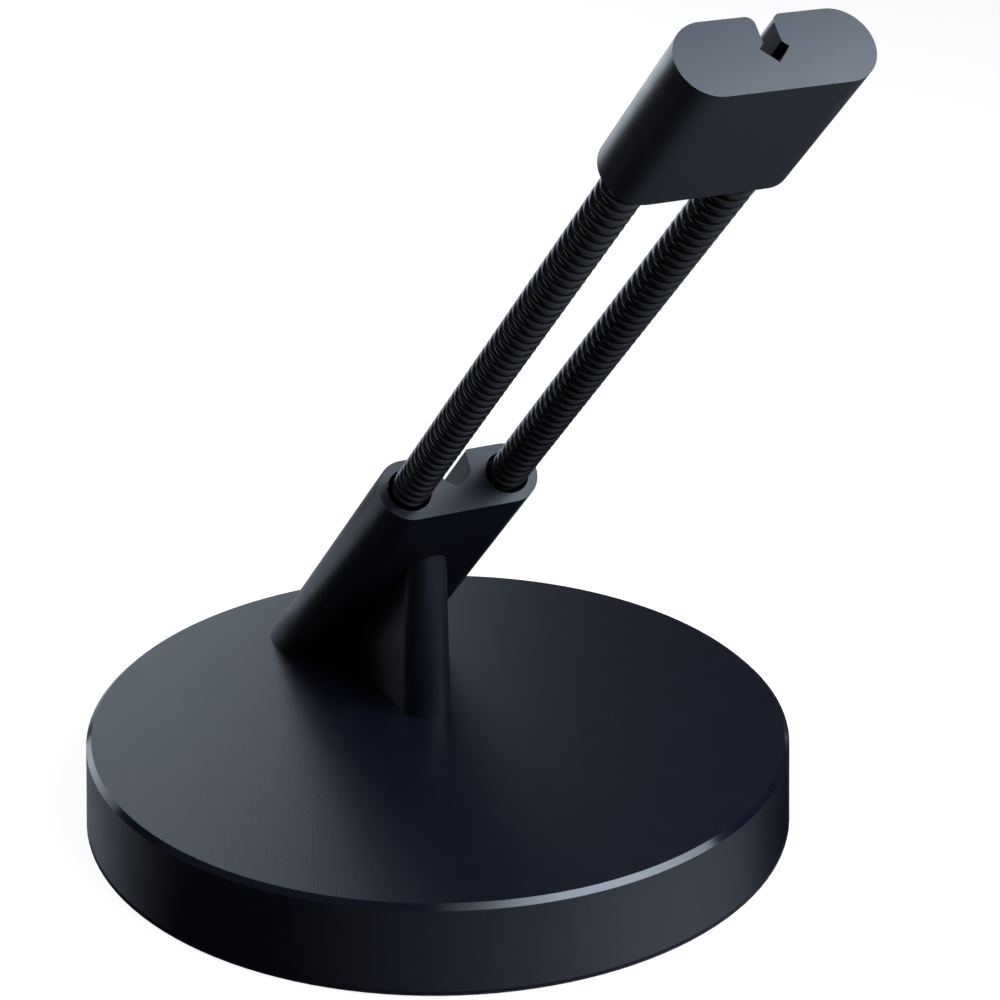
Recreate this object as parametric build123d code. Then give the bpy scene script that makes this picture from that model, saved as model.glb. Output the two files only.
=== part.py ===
from build123d import *
import os
from math import atan2, cos, degrees, pi, radians, sin, tan

# Mouse bungee: a weighted round base, a leaning stem, two coil springs and a cable head.
# Millimetres, +Z up. The origin is the middle of the foot pad's underside on the desk.
# The arm leans towards -Y, and the springs stand side by side along X.

# Base shell
base_diameter = 100.0
base_height = 13.2
side_draft = 2.8
foot_lift = 0.3
edge_bevel = 0.7
deck_thickness = 2.6
wall_thickness = 3.0
deck_rib_thickness = 1.6
deck_rib_inner_radius = 6.0

# Cover, foot pad and ballast
cover_thickness = 2.8
cover_clearance = 0.15
pad_edge_margin = 1.5
pad_thickness = 1.2
ballast_clearance = 0.3
ballast_head_gap = 0.7
clamp_clearance = 0.1

# Screws, the same kind under the cover and under the stem
screw_diameter = 3.0
stem_screw_length = 9.0
screw_head_diameter = 5.5
screw_head_height = 1.4
screw_fit = 0.05
screw_hole_clearance = 0.2
screw_tip_clearance = 0.5
head_pocket_clearance = 0.1
boss_diameter = 7.0
boss_inset = 7.5
cover_screw_count = 3
first_cover_screw_angle = -90.0

# Arm: lean from the upright, and where its axis meets the deck
arm_lean = 45.0
stem_inset = 17.2
section_spacing = 14.6
section_depth = 8.72
stem_length = 56.0
stem_draft = 0.6875
root_length = 12.0

# Rib under the stem
rib_reach = 28.25
rib_thickness = 7.3
rib_draft = 1.5

# Fixing of the stem on the deck
tenon_length = 8.0
tenon_width = 4.0
tenon_height = 1.0
tenon_clearance = 0.1
tenon_forward = 3.5
stem_screw_forward = 3.4

# Springs and their sockets
spring_spacing = 14.5
spring_diameter = 5.34
spring_bore = 1.9
spring_pitch = 1.75
spring_groove_depth = 0.55
spring_flats = 10
spring_free_length = 84.5
spring_fit = 0.06
spring_end_clearance = 0.3
socket_mouth_diameter = 6.16
socket_mouth_depth = 4.0
stem_socket_depth = 14.0
head_socket_depth = 12.0

# Cable groove down the rear of the stem
groove_width = 4.6
groove_floor_depth = 4.86
groove_lip_radius = 0.5

# Cable head
head_length = 21.5
throat_width = 2.16
throat_lip_radius = 1.0
pocket_side = 2.47
pocket_depth = 3.86

# Places that follow from the sizes above
base_radius = base_diameter / 2
foot_radius = base_radius + (base_height - foot_lift) * tan(radians(side_draft))
cavity_radius = base_radius - wall_thickness
cover_radius = cavity_radius - cover_clearance
pad_radius = cover_radius - pad_edge_margin
cover_top = pad_thickness + cover_thickness
deck_underside = base_height - deck_thickness
screw_circle_radius = cavity_radius - boss_inset
ballast_radius = screw_circle_radius - boss_diameter / 2 - ballast_clearance
ballast_thickness = deck_underside - screw_head_height - ballast_head_gap - cover_top
ballast_top = cover_top + ballast_thickness
stem_setback = base_radius - stem_inset
nose_y = stem_setback - rib_reach
section_radius = section_depth / 2
head_start = stem_length + spring_free_length
screw_hole_radius = screw_diameter / 2 + screw_hole_clearance
pilot_radius = screw_diameter / 2 + screw_fit
head_pocket_radius = screw_head_diameter / 2 + head_pocket_clearance
cover_seat = pad_thickness + head_pocket_clearance + screw_head_height
cover_screw_length = deck_underside - screw_tip_clearance - cover_seat
spring_radius = spring_diameter / 2
socket_radius = spring_radius + spring_fit

# The arm's own frame: X across, Y to its rear and upper face, Z up along the leaning axis
lean = radians(arm_lean)
arm = Plane(
    origin=(0, stem_setback, base_height),
    x_dir=(1, 0, 0),
    z_dir=(0, -sin(lean), cos(lean)),
)


def disc(radius, bottom, top):
    return Pos(0, 0, bottom) * extrude(Circle(radius), top - bottom)


def upright(x, y, radius, bottom, top):
    return Pos(x, y, 0) * disc(radius, bottom, top)


def spring_holes(radius, face_height, depth):
    """A pair of round holes in a face across the arm, to the given depth along its axis."""
    holes = Part()
    for side in (-1, 1):
        rim = arm.offset(face_height) * Pos(side * spring_spacing / 2, 0) * Circle(radius)
        holes += extrude(rim, depth)
    return holes


def cover_screw_places():
    return PolarLocations(screw_circle_radius, cover_screw_count, start_angle=first_cover_screw_angle)


def stem_screw_places():
    foot_y = stem_setback - stem_screw_forward
    return [(side * section_spacing / 2, foot_y) for side in (-1, 1)]


def screw(seat_height, length):
    """Pan-head screw pointing up, its head's bearing face at the given height."""
    head = disc(screw_head_diameter / 2, seat_height - screw_head_height, seat_height)
    shank = disc(screw_diameter / 2, seat_height, seat_height + length)
    return head + shank


def make_base_shell():
    # The side spreads a little from the deck to the foot, as it leaves the mould
    shell = Pos(0, 0, foot_lift) * Cone(
        foot_radius,
        base_radius,
        base_height - foot_lift,
        align=(Align.CENTER, Align.CENTER, Align.MIN),
    )
    shell = chamfer(shell.edges().group_by(Axis.Z)[-1], edge_bevel)
    shell -= disc(cavity_radius, foot_lift, deck_underside)

    # Bosses for the cover screws, round the ballast, and ribs from them that hold it down
    rib_bottom = ballast_top + clamp_clearance
    rib_length = screw_circle_radius - deck_rib_inner_radius
    rib_box = Pos((screw_circle_radius + deck_rib_inner_radius) / 2, 0, rib_bottom) * Box(
        rib_length,
        deck_rib_thickness,
        deck_underside - rib_bottom,
        align=(Align.CENTER, Align.CENTER, Align.MIN),
    )
    for place in PolarLocations(0, cover_screw_count, start_angle=first_cover_screw_angle):
        shell += place * rib_box
    for place in cover_screw_places():
        shell += place * disc(boss_diameter / 2, cover_top, deck_underside)
    for place in cover_screw_places():
        shell -= place * disc(pilot_radius, cover_top, deck_underside)

    # Seat of the stem: a shallow recess for its tenon and the holes of its screws
    recess = SlotOverall(
        tenon_length + 2 * tenon_clearance,
        tenon_width + 2 * tenon_clearance,
    )
    recess_depth = tenon_height + tenon_clearance
    recess_place = Pos(0, stem_setback - tenon_forward, base_height - recess_depth)
    shell -= recess_place * extrude(recess, recess_depth)
    for x, y in stem_screw_places():
        shell -= upright(x, y, screw_hole_radius, deck_underside, base_height)
    return shell


def make_base_cover():
    cover = disc(cover_radius, pad_thickness, cover_top)
    for place in cover_screw_places():
        cover -= place * disc(head_pocket_radius, pad_thickness, cover_seat)
        cover -= place * disc(screw_hole_radius, cover_seat, cover_top)
    return cover


def make_foot_pad():
    return disc(pad_radius, 0, pad_thickness)


def make_ballast_plate():
    return disc(ballast_radius, cover_top, ballast_top)


def make_cover_screws():
    return [place * screw(cover_seat, cover_screw_length) for place in cover_screw_places()]


def make_stem_screws():
    return [Pos(x, y, 0) * screw(deck_underside, stem_screw_length) for x, y in stem_screw_places()]


def make_stem():
    # Post: two round ends that spread towards the foot and the web between them
    post_length = stem_length + root_length
    top_half = section_spacing / 2
    root_half = top_half + post_length * tan(radians(stem_draft))
    web = Polyline(
        (-root_half, -root_length),
        (root_half, -root_length),
        (top_half, stem_length),
        (-top_half, stem_length),
        close=True,
    )
    post = extrude(Plane.XZ * make_face(web), section_radius, both=True)
    for side in (-1, 1):
        top_centre = Pos(side * top_half, 0, stem_length) * Rot(0, -side * stem_draft, 0)
        post += top_centre * Cylinder(section_radius, 2 * post_length)
    post = split(post, bisect_by=Plane.XY.offset(stem_length), keep=Keep.BOTTOM)
    post = arm.location * post

    # The cable groove opens to the rear and has rounded lips
    floor_centre = section_radius - groove_floor_depth + groove_width / 2
    groove_reach = section_depth
    groove = Pos(0, floor_centre) * Circle(groove_width / 2)
    groove += Pos(0, floor_centre + groove_reach / 2) * Rectangle(groove_width, groove_reach)
    post -= extrude(arm.offset(stem_length) * groove, -post_length)
    lips = [
        edge
        for edge in post.edges().filter_by(GeomType.LINE)
        if edge.length > stem_length
        and abs(abs(edge.center().X) - groove_width / 2) < groove_lip_radius
        and arm.to_local_coords(edge.center()).Y > floor_centre
    ]
    post = fillet(lips, groove_lip_radius)

    # Rib: an upright wall with a round nose, from the deck to the underside of the post
    plan = Pos(0, (nose_y + stem_setback) / 2, base_height) * SlotCenterToCenter(
        stem_setback - nose_y, rib_thickness, rotation=90
    )
    rib = extrude(plan, stem_length, taper=rib_draft)
    under = Plane(origin=arm.origin, x_dir=(1, 0, 0), z_dir=-arm.y_dir)
    rib = split(rib, bisect_by=under.offset(groove_floor_depth - section_radius), keep=Keep.TOP)
    post = split(post, bisect_by=Plane.XY.offset(base_height), keep=Keep.TOP)
    stem = post + rib

    # Stepped sockets: a wide mouth where the springs can bend, then the fit that holds them
    stem -= spring_holes(socket_mouth_diameter / 2, stem_length, -socket_mouth_depth)
    stem -= spring_holes(socket_radius, stem_length, -stem_socket_depth)
    tenon = SlotOverall(tenon_length, tenon_width)
    tenon_place = Pos(0, stem_setback - tenon_forward, base_height - tenon_height)
    stem += tenon_place * extrude(tenon, tenon_height)
    pilot_top = deck_underside + stem_screw_length + screw_tip_clearance
    for x, y in stem_screw_places():
        stem -= upright(x, y, pilot_radius, base_height, pilot_top)
    return stem


def make_cable_head():
    oblong = SlotCenterToCenter(section_spacing, section_depth)
    head = extrude(arm.offset(head_start) * oblong, head_length)
    head -= spring_holes(socket_radius, head_start, head_socket_depth)

    # Slot from the rear: rounded lips, a narrow throat and a square pocket on its corner
    rear = section_radius
    pocket_y = rear - pocket_depth
    slot = Pos(0, pocket_y) * Rectangle(pocket_side, pocket_side, rotation=45)
    slot += Pos(0, (pocket_y + rear) / 2) * Rectangle(throat_width, rear - pocket_y)
    lip_x = throat_width / 2 + throat_lip_radius
    flare = Pos(0, rear - throat_lip_radius / 2) * Rectangle(2 * lip_x, throat_lip_radius)
    for side in (-1, 1):
        flare -= Pos(side * lip_x, rear - throat_lip_radius) * Circle(throat_lip_radius)
    slot += flare
    head -= extrude(arm.offset(head_start) * slot, head_length)
    return head


def make_spring():
    """Close-wound spring: a ridge with flats for each turn, and plain where its ends are held."""
    start = stem_length - stem_socket_depth + spring_end_clearance
    end = head_start + head_socket_depth - spring_end_clearance
    ridged_start = stem_length - socket_mouth_depth
    ridged_length = head_start - ridged_start
    turns = round(ridged_length / spring_pitch)
    turn = ridged_length / turns

    # One turn: a crest that falls away to the groove on both sides
    fall = degrees(atan2(spring_groove_depth * cos(pi / spring_flats), turn / 2))
    half_turn = extrude(RegularPolygon(spring_radius, spring_flats), turn / 2, taper=fall)
    ridge = half_turn + mirror(half_turn, about=Plane.XY)
    spring = Part() + [Pos(0, 0, ridged_start + (index + 0.5) * turn) * ridge for index in range(turns)]
    spring += disc(spring_radius, start, ridged_start)
    spring += disc(spring_radius, head_start, end)
    return spring - disc(spring_bore / 2, start, end)


def make_springs():
    spring = make_spring()
    sides = {"left_spring": -1, "right_spring": 1}
    return {
        name: arm.location * Pos(side * spring_spacing / 2, 0, 0) * spring
        for name, side in sides.items()
    }


nodes = {
    "base_shell": make_base_shell(),
    "base_cover": make_base_cover(),
    "foot_pad": make_foot_pad(),
    "ballast_plate": make_ballast_plate(),
    "cover_screws": Compound(children=make_cover_screws()),
    "stem_screws": Compound(children=make_stem_screws()),
    "stem": make_stem(),
    "cable_head": make_cable_head(),
}
nodes.update(make_springs())

os.makedirs("parts", exist_ok=True)
for name, shape in nodes.items():
    export_step(shape, f"parts/{name}.step")
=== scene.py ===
import bpy
from math import cos, pi, radians, sin
from mathutils import Matrix, Vector


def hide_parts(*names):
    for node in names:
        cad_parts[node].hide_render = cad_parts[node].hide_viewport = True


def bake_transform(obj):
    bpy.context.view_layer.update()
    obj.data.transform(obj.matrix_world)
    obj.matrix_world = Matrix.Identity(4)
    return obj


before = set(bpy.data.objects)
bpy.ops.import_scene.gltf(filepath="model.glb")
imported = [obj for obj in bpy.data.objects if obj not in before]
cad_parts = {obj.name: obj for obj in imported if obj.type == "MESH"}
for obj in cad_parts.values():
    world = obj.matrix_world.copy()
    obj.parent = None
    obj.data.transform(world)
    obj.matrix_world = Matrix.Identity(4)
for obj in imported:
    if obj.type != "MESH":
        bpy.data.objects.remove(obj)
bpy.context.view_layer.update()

# Base shell: the round weighted foot, injection moulded in black plastic with a fine matte grain.
# A narrow bevel round the deck is left polished. The stem is screwed to the deck from below.
base_black = (0.0050, 0.0057, 0.0132)
base_black_worn = (0.0058, 0.0066, 0.0146)
base_roughness = (0.35, 0.37)
base_grain_height = 0.00003
plastic_grain_strength = 0.6
bevel_roughness = 0.13
bevel_slant_low = 0.5
bevel_slant_high = 0.9


def new_finish(name):
    """A new material, given with its nodes, its links and its plain shader."""
    material = bpy.data.materials.new(name)
    material.use_nodes = True
    nodes = material.node_tree.nodes
    links = material.node_tree.links
    return material, nodes, links, nodes["Principled BSDF"]


def noise_in_piece(nodes, links, scale, detail, stretch=(1, 1, 1)):
    """Noise that is fixed in the space of the piece, and may be drawn out along an axis."""
    place = nodes.new("ShaderNodeTexCoord")
    drawn = nodes.new("ShaderNodeMapping")
    drawn.inputs["Scale"].default_value = stretch
    links.new(place.outputs["Object"], drawn.inputs["Vector"])
    noise = nodes.new("ShaderNodeTexNoise")
    noise.inputs["Scale"].default_value = scale
    noise.inputs["Detail"].default_value = detail
    links.new(drawn.outputs["Vector"], noise.inputs["Vector"])
    return noise.outputs["Fac"]


def vary_tone(nodes, links, pattern, tone, other_tone, low=0, high=1):
    """Takes the colour from one tone to the other as the pattern rises from low to high."""
    tones = nodes.new("ShaderNodeValToRGB")
    tones.color_ramp.elements[0].position = low
    tones.color_ramp.elements[0].color = (*tone, 1)
    tones.color_ramp.elements[1].position = high
    tones.color_ramp.elements[1].color = (*other_tone, 1)
    links.new(pattern, tones.inputs["Fac"])
    links.new(tones.outputs["Color"], nodes["Principled BSDF"].inputs["Base Color"])


def vary_roughness(nodes, links, pattern, roughness, low=0, high=1):
    """Takes the roughness from its least to its most as the pattern rises from low to high."""
    gloss = nodes.new("ShaderNodeMapRange")
    gloss.inputs["From Min"].default_value = low
    gloss.inputs["From Max"].default_value = high
    gloss.inputs["To Min"].default_value = roughness[0]
    gloss.inputs["To Max"].default_value = roughness[1]
    links.new(pattern, gloss.inputs["Value"])
    links.new(gloss.outputs["Result"], nodes["Principled BSDF"].inputs["Roughness"])


def moulded_plastic(name, tone, worn_tone, roughness, grain_height):
    """Black moulded plastic: a fine eroded grain, with a little unevenness of tone and gloss."""
    material, nodes, links, plastic = new_finish(name)
    plastic.inputs["IOR"].default_value = 1.5
    cloud = noise_in_piece(nodes, links, scale=240, detail=3)
    vary_tone(nodes, links, cloud, tone, worn_tone, low=0.35, high=0.7)
    vary_roughness(nodes, links, cloud, roughness, low=0.3, high=0.7)
    grain = noise_in_piece(nodes, links, scale=2800, detail=2)
    bump = nodes.new("ShaderNodeBump")
    bump.name = "grain_bump"
    bump.inputs["Strength"].default_value = plastic_grain_strength
    bump.inputs["Distance"].default_value = grain_height
    links.new(grain, bump.inputs["Height"])
    links.new(bump.outputs["Normal"], plastic.inputs["Normal"])
    return material


def polish_bevel(material):
    """Takes the grain off and lowers the roughness where the surface slants between deck and side."""
    nodes = material.node_tree.nodes
    links = material.node_tree.links
    plastic = nodes["Principled BSDF"]
    matte = plastic.inputs["Roughness"].links[0].from_socket
    place = nodes.new("ShaderNodeTexCoord")
    split = nodes.new("ShaderNodeSeparateXYZ")
    links.new(place.outputs["Normal"], split.inputs["Vector"])
    slant = nodes.new("ShaderNodeValToRGB")
    slant.color_ramp.interpolation = "CONSTANT"
    slant.color_ramp.elements[0].color = (0, 0, 0, 1)
    slant.color_ramp.elements[1].position = bevel_slant_low
    slant.color_ramp.elements[1].color = (1, 1, 1, 1)
    deck = slant.color_ramp.elements.new(bevel_slant_high)
    deck.color = (0, 0, 0, 1)
    links.new(split.outputs["Z"], slant.inputs["Fac"])
    polish = nodes.new("ShaderNodeMapRange")
    polish.inputs["To Max"].default_value = bevel_roughness
    links.new(slant.outputs["Color"], polish.inputs["Value"])
    links.new(matte, polish.inputs["To Min"])
    links.new(polish.outputs["Result"], plastic.inputs["Roughness"])
    smooth = nodes.new("ShaderNodeMapRange")
    smooth.inputs["To Min"].default_value = plastic_grain_strength
    smooth.inputs["To Max"].default_value = 0
    links.new(slant.outputs["Color"], smooth.inputs["Value"])
    links.new(smooth.outputs["Result"], nodes["grain_bump"].inputs["Strength"])


def finish_node(name, material):
    """Gives a CAD piece its finish."""
    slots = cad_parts[name].data.materials
    slots.clear()
    slots.append(material)


base_plastic = moulded_plastic(
    "base_plastic_grained", base_black, base_black_worn, base_roughness, base_grain_height
)
polish_bevel(base_plastic)
finish_node("base_shell", base_plastic)

# Stem: the leaning post and its rib, one black moulding with a finer grain than the base.
# Two screws from under the deck hold its foot, and a tenon keeps it square.
arm_black = (0.0075, 0.0088, 0.0165)
arm_black_worn = (0.0095, 0.0110, 0.0195)
arm_roughness = (0.32, 0.38)
arm_grain_height = 0.000012
arm_plastic = moulded_plastic(
    "arm_plastic_fine", arm_black, arm_black_worn, arm_roughness, arm_grain_height
)
finish_node("stem", arm_plastic)

# Stem screws: two zinc plated steel screws, cold headed and rolled.
# They pass up through the deck and bite into the foot of the stem.
zinc_grey = (0.5, 0.51, 0.53)
zinc_bright = (0.6, 0.6, 0.61)
zinc_roughness = (0.24, 0.40)


def worked_steel(name, tone, streak_tone, roughness, stretch):
    """Bare or plated steel with fine marks from working, which may be drawn out into streaks."""
    material, nodes, links, steel = new_finish(name)
    steel.inputs["Metallic"].default_value = 1
    marks = noise_in_piece(nodes, links, scale=400, detail=4, stretch=stretch)
    vary_tone(nodes, links, marks, tone, streak_tone, low=0.3, high=0.7)
    vary_roughness(nodes, links, marks, roughness)
    return material


screw_steel = worked_steel("screw_steel_zinc", zinc_grey, zinc_bright, zinc_roughness, stretch=(1, 1, 1))
finish_node("stem_screws", screw_steel)

# Ballast plate: a plain steel disc, cut from rolled plate, that gives the base its weight.
# It lies on the cover between the three bosses and under the shell's ribs.
plate_grey = (0.42, 0.42, 0.43)
plate_bright = (0.54, 0.54, 0.55)
plate_roughness = (0.34, 0.50)
rolled_stretch = (1, 0.04, 1)
ballast_steel = worked_steel(
    "ballast_steel_rolled", plate_grey, plate_bright, plate_roughness, stretch=rolled_stretch
)
finish_node("ballast_plate", ballast_steel)

# Base cover: a flat black moulding that closes the base from below.
# Three screws hold it to the shell's bosses, their heads sunk in pockets.
cover_roughness = (0.36, 0.44)
cover_grain_height = 0.00002
cover_plastic = moulded_plastic(
    "cover_plastic", base_black, base_black_worn, cover_roughness, cover_grain_height
)
finish_node("base_cover", cover_plastic)

# Cover screws: three of the same plated screws as under the stem.
# They stand in the cover's pockets, and the foot pad hides their heads.
finish_node("cover_screws", screw_steel)

# Foot pad: a disc of black rubber, die cut and stuck to the cover.
# It grips the desk and covers the screw heads.
pad_black = (0.012, 0.012, 0.012)
pad_dust = (0.03, 0.03, 0.029)
pad_roughness = 0.8
pebble_scale = 900
pebble_height = 0.0001


def grip_rubber(name, tone, dust_tone):
    """Dull black rubber with a pebbled grip and a little dust in it."""
    material, nodes, links, rubber = new_finish(name)
    rubber.inputs["Roughness"].default_value = pad_roughness
    place = nodes.new("ShaderNodeTexCoord")
    pebbles = nodes.new("ShaderNodeTexVoronoi")
    pebbles.inputs["Scale"].default_value = pebble_scale
    links.new(place.outputs["Object"], pebbles.inputs["Vector"])
    vary_tone(nodes, links, pebbles.outputs["Distance"], tone, dust_tone)
    bump = nodes.new("ShaderNodeBump")
    bump.inputs["Distance"].default_value = pebble_height
    bump.invert = True
    links.new(pebbles.outputs["Distance"], bump.inputs["Height"])
    links.new(bump.outputs["Normal"], rubber.inputs["Normal"])
    return material


finish_node("foot_pad", grip_rubber("pad_rubber_pebbled", pad_black, pad_dust))

# Springs: two close-wound coils of round steel wire with a black satin coating.
# They are wound opposite ways and bonded in the sockets of the stem and the head.
# Each is modelled in two lengths, a lower and an upper, split for the nod and the sway.
arm_foot = Vector((0, 0.0328, 0.0132))
arm_lean = radians(45)
arm_axis = Vector((0, -sin(arm_lean), cos(arm_lean)))
spring_offset = 0.00725
coil_radius = 0.00267
wire_diameter = 0.00169
wire_sides = 14
wire_smooth_angle = radians(50)
turn_steps = 28
wire_pitch = 0.0017452
wire_start = 0.04315
lower_turns = 24
upper_turns = 38
upper_start = wire_start + lower_turns * wire_pitch
wire_black = (0.0016, 0.0019, 0.0045)
wire_black_rubbed = (0.0030, 0.0036, 0.0075)
wire_roughness = (0.18, 0.26)


def wound_wire(name, side, hand, start, turns):
    """A run of wire, wound from a round section about the spring's axis and closed at its ends."""
    bpy.ops.object.select_all(action="DESELECT")
    bpy.ops.mesh.primitive_circle_add(
        vertices=wire_sides,
        radius=wire_diameter / 2,
        location=(coil_radius - wire_diameter / 2, 0, 0),
        rotation=(pi / 2, 0, 0),
    )
    wire = bpy.context.object
    wire.name = name
    bpy.ops.object.transform_apply(location=True, rotation=True, scale=True)
    winding = wire.modifiers.new("winding", "SCREW")
    winding.axis = "Z"
    winding.angle = hand * 2 * pi
    winding.screw_offset = wire_pitch
    winding.iterations = turns
    winding.steps = turn_steps
    winding.render_steps = turn_steps
    bpy.ops.object.modifier_apply(modifier=winding.name)
    bpy.ops.object.mode_set(mode="EDIT")
    bpy.ops.mesh.select_all(action="SELECT")
    bpy.ops.mesh.fill_holes(sides=wire_sides)
    bpy.ops.mesh.normals_make_consistent(inside=False)
    bpy.ops.object.mode_set(mode="OBJECT")
    bpy.ops.object.shade_smooth_by_angle(angle=wire_smooth_angle)
    wire.rotation_euler = (arm_lean, 0, 0)
    wire.location = arm_foot + arm_axis * start + Vector((side * spring_offset, 0, 0))
    bpy.ops.object.transform_apply(location=True, rotation=True, scale=True)
    return wire


def coated_wire(name, tone, rubbed_tone, roughness):
    """Black satin coating on drawn wire, a little duller in cloudy patches."""
    material, nodes, links, coating = new_finish(name)
    coating.inputs["IOR"].default_value = 1.5
    patches = noise_in_piece(nodes, links, scale=700, detail=3)
    vary_tone(nodes, links, patches, tone, rubbed_tone, low=0.35, high=0.75)
    vary_roughness(nodes, links, patches, roughness)
    return material


spring_coating = coated_wire("spring_wire_satin", wire_black, wire_black_rubbed, wire_roughness)
for hand_name, side, hand in (("left", -1, -1), ("right", 1, 1)):
    lower = wound_wire(f"{hand_name}_spring_lower", side, hand, wire_start, lower_turns)
    upper = wound_wire(f"{hand_name}_spring_upper", side, hand, upper_start, upper_turns)
    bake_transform(lower)
    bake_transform(upper)
    for half in (lower, upper):
        half.data.materials.append(spring_coating)
        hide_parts(f"{hand_name}_spring")

# Cable head: the clip that holds the cable, moulded like the stem, with a flared slot at its rear.
# It is pushed on to the tops of the springs and bonded there.
finish_node("cable_head", arm_plastic)

# Floor: a plain pale sweep that lies under the object and fills the view.
# It is lifted to white for what the camera, mirrors and glass see, and keeps the shadow.
floor_size = 20
floor_grey = (0.5, 0.5, 0.5, 1)
floor_lift = 0.88
bpy.ops.object.select_all(action="DESELECT")
bpy.ops.mesh.primitive_plane_add(size=floor_size, location=(0, 0, 0))
floor = bpy.context.object
floor.name = "floor"
floor_paper, floor_nodes, floor_links, plain_shader = new_finish("white_paper")
floor_nodes.remove(plain_shader)
matte = floor_nodes.new("ShaderNodeBsdfDiffuse")
matte.inputs["Color"].default_value = floor_grey
ray = floor_nodes.new("ShaderNodeLightPath")
seen = ray.outputs["Is Camera Ray"]
for ray_kind in ("Is Glossy Ray", "Is Transmission Ray"):
    either = floor_nodes.new("ShaderNodeMath")
    either.operation = "MAXIMUM"
    floor_links.new(seen, either.inputs[0])
    floor_links.new(ray.outputs[ray_kind], either.inputs[1])
    seen = either.outputs["Value"]
lift = floor_nodes.new("ShaderNodeMath")
lift.operation = "MULTIPLY"
lift.inputs[1].default_value = floor_lift
floor_links.new(seen, lift.inputs[0])
glow = floor_nodes.new("ShaderNodeEmission")
floor_links.new(lift.outputs["Value"], glow.inputs["Strength"])
both = floor_nodes.new("ShaderNodeAddShader")
floor_links.new(matte.outputs["BSDF"], both.inputs[0])
floor_links.new(glow.outputs["Emission"], both.inputs[1])
floor_links.new(both.outputs["Shader"], floor_nodes["Material Output"].inputs["Surface"])
floor.data.materials.append(floor_paper)

# Cards: glowing graded cards that are no lamps and that only reflections show. They are painted
# reflections for the black plastic to mirror.
# Three round ones lie flat on the floor, one above the other and the smallest on top.
# A ring slopes up and out round the foot, brightest at the front on the right.
view_right = Vector((0.898, -0.440, 0))
view_away = Vector((0.440, 0.898, 0))
view_up = Vector((0, 0, 1))
view_turn = radians(-26.1)
card_cool = (0.76, 0.86, 1.0)
ring_foot_radius = 0.0507
ring_reach = 0.0055
ring_rise = 0.0105
mirror_rate = 2.1
mirror_turn = 97.4


def grade_ramp(ramp, grades, tint):
    """Sets the tones along a ramp, and holds the first and the last of them to its ends."""
    for position, tone in grades:
        stop = ramp.elements.new(position)
        stop.color = (tint[0] * tone, tint[1] * tone, tint[2] * tone, 1)
    ramp.elements[0].color = ramp.elements[1].color
    ramp.elements[-1].color = ramp.elements[-2].color


def glowing_card_tones(name, grades, first, last):
    """Glowing card whose tone, a painted reflection, is graded along a scale that runs from the first
    angle to the last.
    """
    glow_finish, nodes, links, plain = new_finish(name)
    nodes.remove(plain)
    tones = nodes.new("ShaderNodeValToRGB")
    tones.name = "tones"
    along = [((angle - first) / (last - first), tone) for angle, tone in grades]
    grade_ramp(tones.color_ramp, along, card_cool)
    # The card glows in its graded tones though it is no lamp: a painted reflection.
    painted_glow = nodes.new("ShaderNodeEmission")
    links.new(tones.outputs["Color"], painted_glow.inputs["Color"])
    links.new(painted_glow.outputs["Emission"], nodes["Material Output"].inputs["Surface"])
    return glow_finish


def lay_card(card, name, glow_finish):
    """Shows a card to reflections only."""
    card.name = name
    card.visible_camera = False
    card.visible_diffuse = False
    card.visible_shadow = False
    card.data.materials.append(glow_finish)


def round_card(name, radius, lift, grades):
    """A round glowing card on the floor, a painted reflection, its tone graded by the angle from the
    camera's right.
    """
    bpy.ops.object.select_all(action="DESELECT")
    bpy.ops.mesh.primitive_circle_add(
        vertices=96, radius=radius, fill_type="NGON", location=(0, 0, lift), rotation=(0, 0, view_turn)
    )
    glow_finish = glowing_card_tones(name, grades, first=-180, last=180)
    nodes = glow_finish.node_tree.nodes
    links = glow_finish.node_tree.links
    place = nodes.new("ShaderNodeTexCoord")
    angle_round = nodes.new("ShaderNodeTexGradient")
    angle_round.gradient_type = "RADIAL"
    links.new(place.outputs["Object"], angle_round.inputs["Vector"])
    links.new(angle_round.outputs["Fac"], nodes["tones"].inputs["Fac"])
    lay_card(bpy.context.object, name, glow_finish)


def ring_card(name, lift, first, last, grades):
    """A glowing card, a painted reflection in the side, that stands sloping out round the foot, cut in
    rays the way the side mirrors the view.
    """
    bpy.ops.object.select_all(action="DESELECT")
    bpy.ops.mesh.primitive_grid_add(
        x_subdivisions=90, y_subdivisions=1, size=1, location=(0, 0, lift), rotation=(0, 0, view_turn)
    )
    card = bpy.context.object
    for corner in card.data.vertices:
        wall = first + (corner.co.x + 0.5) * (last - first)
        mirrored = radians(mirror_rate * wall + mirror_turn)
        inner = Vector((cos(radians(wall)), sin(radians(wall)), 0)) * ring_foot_radius
        outward = Vector((cos(mirrored) * ring_reach, sin(mirrored) * ring_reach, ring_rise))
        corner.co = inner + outward * (corner.co.y + 0.5)
    glow_finish = glowing_card_tones(name, grades, first, last)
    nodes = glow_finish.node_tree.nodes
    links = glow_finish.node_tree.links
    place = nodes.new("ShaderNodeUVMap")
    split = nodes.new("ShaderNodeSeparateXYZ")
    links.new(place.outputs["UV"], split.inputs["Vector"])
    links.new(split.outputs["X"], nodes["tones"].inputs["Fac"])
    lay_card(card, name, glow_finish)


# Tones of the painted reflections, given for each card by angle.
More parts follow.
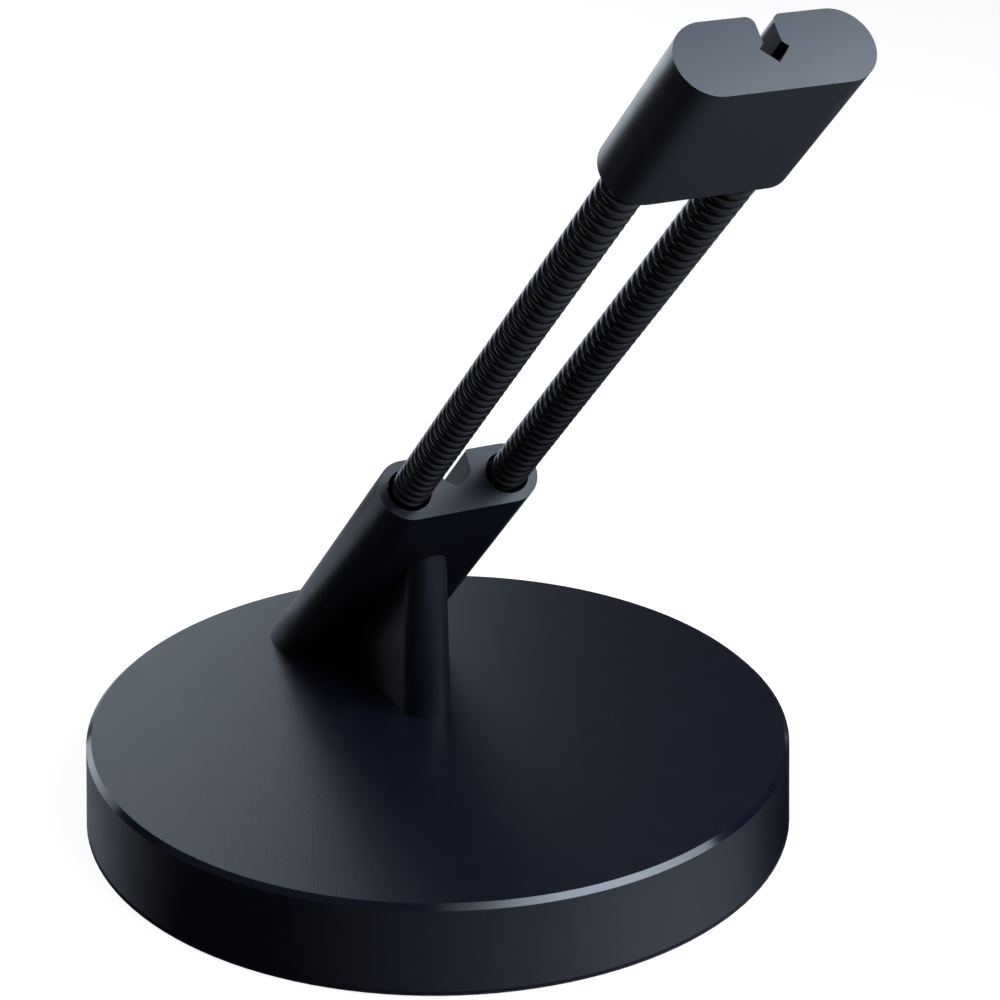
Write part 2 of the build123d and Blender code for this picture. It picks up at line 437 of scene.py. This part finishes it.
wide_grades = (
    (-178, 0.02), (-142, 0.01), (-130, 0.03), (-117, 0.11), (-104, 0.18), (-92, 0.26), (-79, 0.36),
    (-66, 0.5), (-54, 0.63), (-41, 0.8), (-28, 0.97), (-16, 0.97), (-3, 0.89), (9, 0.67), (21, 0.45),
    (32, 0.4), (40, 0.06), (62, 0.06), (72, 0.42), (85, 0.42), (100, 0.2), (120, 0.1), (150, 0.06),
    (178, 0.02),
)
middle_grades = (
    (-178, 0.10), (-150, 0.02), (-115, 0.02), (-95, 0.15), (-75, 0.4), (-55, 0.55), (-40, 0.45),
    (-22, 0.25), (8, 0.16), (28, 0.16), (38, 0.04), (62, 0.04), (73, 0.65), (87, 0.65), (96, 0.35),
    (105, 0.5), (140, 0.6), (155, 0.5), (170, 0.2), (178, 0.10),
)
near_grades = (
    (-178, 0.10), (-150, 0.02), (-110, 0.02), (-70, 0.12), (-38, 0.22), (-20, 0.12), (8, 0.14),
    (28, 0.16), (38, 0.04), (62, 0.04), (75, 0.42), (95, 0.35), (105, 0.5), (140, 0.6), (155, 0.5),
    (170, 0.2), (178, 0.10),
)
ring_grades = (
    (-164, 0.36), (-156, 0.37), (-150, 0.31), (-144, 0.19), (-138, 0.09), (-132, 0.015), (-114, 0.01),
    (-108, 0.045), (-102, 0.11), (-96, 0.175), (-90, 0.257), (-84, 0.36), (-78, 0.5), (-72, 0.63),
    (-66, 0.8), (-60, 0.97), (-54, 0.97), (-48, 0.885), (-42, 0.67), (-36, 0.44), (-30, 0.19),
    (-24, 0.05), (-16, 0.01),
)
round_card("wide_card", radius=0.8, lift=0.0002, grades=wide_grades)
round_card("middle_card", radius=0.15, lift=0.0004, grades=middle_grades)
round_card("near_card", radius=0.08, lift=0.0006, grades=near_grades)
ring_card("ring_card", lift=0.0008, first=-170, last=-10, grades=ring_grades)

# Lamps: a long soft box close by on the right is the key, and a broad one behind on the left
# shows in the deck. A weak one above on the front left fills in. All three are a little cool.
lamp_cool = (0.76, 0.87, 1.0)
even_tint = (1, 1, 1)


def studio_point(right, away, up):
    """A place in the studio, given from the camera's side of the object."""
    return view_right * right + view_away * away + view_up * up


def soft_box(name, place, facing, edge, width, height, radiance):
    """A rectangular soft box that faces one way, its width along an edge, given by its brightness."""
    data = bpy.data.lights.new(name, "AREA")
    data.shape = "RECTANGLE"
    data.size = width
    data.size_y = height
    data.energy = radiance * pi * width * height
    data.color = lamp_cool
    lamp = bpy.data.objects.new(name, data)
    bpy.context.scene.collection.objects.link(lamp)
    back = -facing.normalized()
    along = (edge - back * edge.dot(back)).normalized()
    turn = Matrix((along, back.cross(along), back)).transposed()
    lamp.matrix_world = Matrix.Translation(place) @ turn.to_4x4()
    return lamp


def grade_box(lamp, grades):
    """Grades a soft box along its width."""
    lamp.data.use_nodes = True
    nodes = lamp.data.node_tree.nodes
    links = lamp.data.node_tree.links
    place = nodes.new("ShaderNodeNewGeometry")
    split = nodes.new("ShaderNodeSeparateXYZ")
    links.new(place.outputs["Parametric"], split.inputs["Vector"])
    fall = nodes.new("ShaderNodeValToRGB")
    grade_ramp(fall.color_ramp, grades, even_tint)
    links.new(split.outputs["X"], fall.inputs["Fac"])
    links.new(fall.outputs["Color"], nodes["Emission"].inputs["Strength"])


key_grades = (
    (0.01, 0.0), (0.06, 0.05), (0.18, 0.2), (0.31, 0.6), (0.44, 0.93), (0.55, 1.0), (0.68, 1.0),
    (0.8, 0.8), (0.93, 0.6), (0.99, 0.5),
)
key_box = soft_box(
    "key_box",
    place=studio_point(0.1777, -0.1326, 0.2704),
    facing=studio_point(-0.536, 0.174, -0.826),
    edge=studio_point(0.699, 0.640, -0.318),
    width=0.465,
    height=0.137,
    radiance=10.3,
)
grade_box(key_box, key_grades)
rear_grades = (
    (0.01, 0.05), (0.1, 0.12), (0.2, 0.2), (0.31, 0.32), (0.48, 0.77), (0.6, 1.0), (0.68, 0.58),
    (0.99, 0.58),
)
rear_box = soft_box(
    "rear_box",
    place=studio_point(-0.809, 0.6, 0.224),
    facing=studio_point(0, -1, 0),
    edge=studio_point(0.972, 0, 0.237),
    width=1.5,
    height=0.70,
    radiance=3.0,
)
grade_box(rear_box, rear_grades)
left_facing = studio_point(0.49, 0.41, -0.77)
left_distance = 0.7
soft_box(
    "left_box",
    place=left_facing * -left_distance,
    facing=left_facing,
    edge=view_right,
    width=1.0,
    height=1.0,
    radiance=0.07,
)

# World: the dim room beyond the lamps, a cool grey that is the same all round.
# It keeps the faces that no lamp reaches a little above black.
room_grey = (0.9, 0.95, 1.0, 1)
room_strength = 0.033
room = bpy.data.worlds.new("room")
room.use_nodes = True
room_light = room.node_tree.nodes["Background"]
room_light.inputs["Color"].default_value = room_grey
room_light.inputs["Strength"].default_value = room_strength
bpy.context.scene.world = room

# Camera: a long lens a third of a metre in front of the object, a little above it and to its left.
# Its place, aim and slight roll give the photograph's view.
camera_place = Vector((-0.138391, -0.301824, 0.188956))
camera_forward = Vector((0.40485, 0.82601, -0.39217))
camera_roll = radians(0.3552)
level_right = camera_forward.cross(view_up).normalized()
level_up = level_right.cross(camera_forward)
camera_right = level_right * cos(camera_roll) + level_up * sin(camera_roll)
camera_up = level_up * cos(camera_roll) - level_right * sin(camera_roll)
camera_turn = Matrix((camera_right, camera_up, -camera_forward)).transposed()
lens = bpy.data.cameras.new("camera")
lens.sensor_width = 36
lens.lens = 94.06
lens.clip_start = 0.01
lens.clip_end = 100
camera = bpy.data.objects.new("camera", lens)
bpy.context.scene.collection.objects.link(camera)
camera.matrix_world = Matrix.Translation(camera_place) @ camera_turn.to_4x4()
bpy.context.scene.camera = camera
bpy.context.scene.view_settings.view_transform = "Standard"
